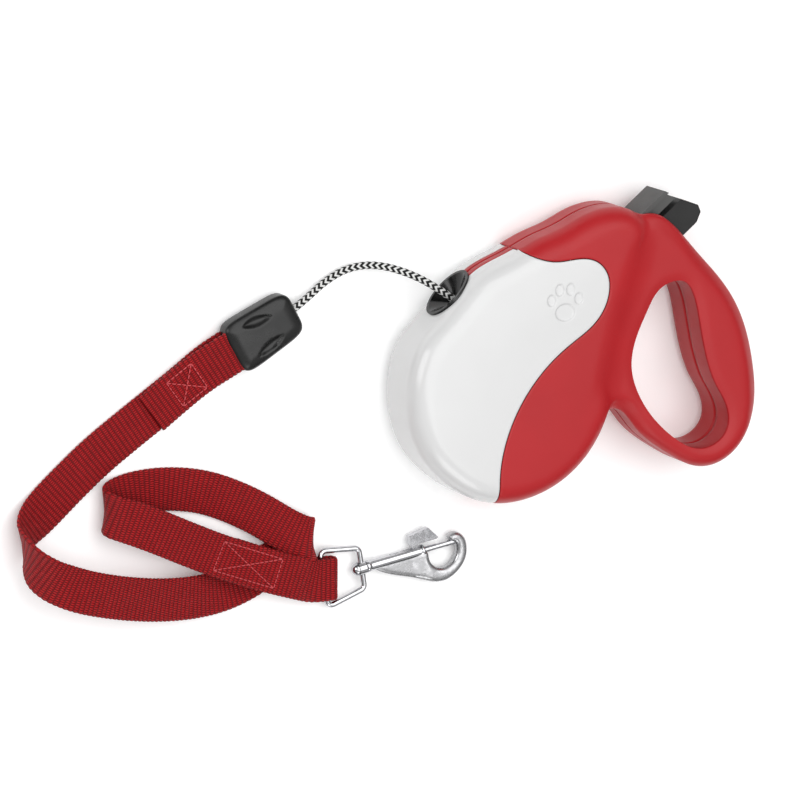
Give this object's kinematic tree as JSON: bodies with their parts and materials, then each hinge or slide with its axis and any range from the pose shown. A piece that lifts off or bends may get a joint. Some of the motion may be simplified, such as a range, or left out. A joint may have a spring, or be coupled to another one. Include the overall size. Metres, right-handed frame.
{
  "type": "retractable leash",
  "caption": "Hand-held cord reel with a looped grip, thumb brake and lock, braided cord, webbing end and swivel bolt hook.",
  "frame": {"origin": "centre of the casing's box at the level of the surface it lies on", "axes": "+Z out of the left side, +X from the cord nose towards the grip, +Y towards the thumb brake"},
  "size_m": [0.3668, 0.1858, 0.0362],
  "materials": {
    "red_plastic": "satin moulded",
    "white_plastic": "polished",
    "black_gloss_plastic": "polished",
    "black_matte_plastic": "fine texture",
    "grey_matte_plastic": "fine texture",
    "natural_plastic": "as moulded",
    "zinc_steel": "zinc plated",
    "bright_steel": "turned",
    "spring_steel": "tempered",
    "chrome": "polished plate",
    "braided_cord": "black and white braid",
    "red_webbing": "ribbed weave",
    "red_thread": "stitched"
  },
  "bodies": {
    "casing": {"casing_right": "red_plastic", "casing_left": "red_plastic", "front_cover": "white_plastic", "outlet_bezel": "black_gloss_plastic", "casing_screws": "zinc_steel", "reel_axle": "bright_steel", "axle_washer": "bright_steel", "spring_case": "black_matte_plastic", "spring_lid": "black_matte_plastic", "rewind_spring": "spring_steel", "cord_lead": "braided_cord", "cord": "braided_cord", "connector_lower": "black_matte_plastic", "connector_upper": "black_matte_plastic", "connector_bar": "bright_steel", "strap": "red_webbing", "strap_stitching": "red_thread"},
    "reel": {"reel_drum": "natural_plastic", "wound_cord": "braided_cord"},
    "brake": {"brake_button": "black_matte_plastic", "brake_pawl": "natural_plastic", "brake_spring": "spring_steel"},
    "lock": {"lock_slider": "grey_matte_plastic"},
    "ring": {"swivel_ring": "chrome"},
    "hook": {"swivel_rivet": "chrome", "hook_body": "chrome"},
    "bolt": {"hook_bolt": "chrome", "bolt_spring": "spring_steel"}
  },
  "joints": [
    {"name": "reel_spin", "type": "hinge", "parent": "casing", "child": "reel", "pos_m": [-0.034, -0.009, 0.018], "axis": [0, 0, 1], "continuous": true},
    {"name": "brake_press", "type": "slide", "parent": "casing", "child": "brake", "axis": [-0.7826, -0.6225, 0], "range_m": [0, 0.004], "stiffness_N_per_m": 500, "springref_m": -0.002},
    {"name": "lock_slide", "type": "slide", "parent": "brake", "child": "lock", "axis": [0.6225, -0.7826, 0], "range_m": [0, 0.0015]},
    {"name": "ring_swing", "type": "hinge", "parent": "casing", "child": "ring", "pos_m": [-0.1225, -0.1025, 0.0038], "axis": [0.1564, -0.9877, 0], "range_deg": [-30, 80]},
    {"name": "hook_swivel", "type": "hinge", "parent": "ring", "child": "hook", "pos_m": [-0.1225, -0.1025, 0.0038], "axis": [0.9877, 0.1564, 0], "continuous": true},
    {"name": "bolt_slide", "type": "slide", "parent": "hook", "child": "bolt", "axis": [-0.9877, -0.1564, 0], "range_m": [0, 0.008], "stiffness_N_per_m": 200, "springref_m": -0.002}
  ]
}
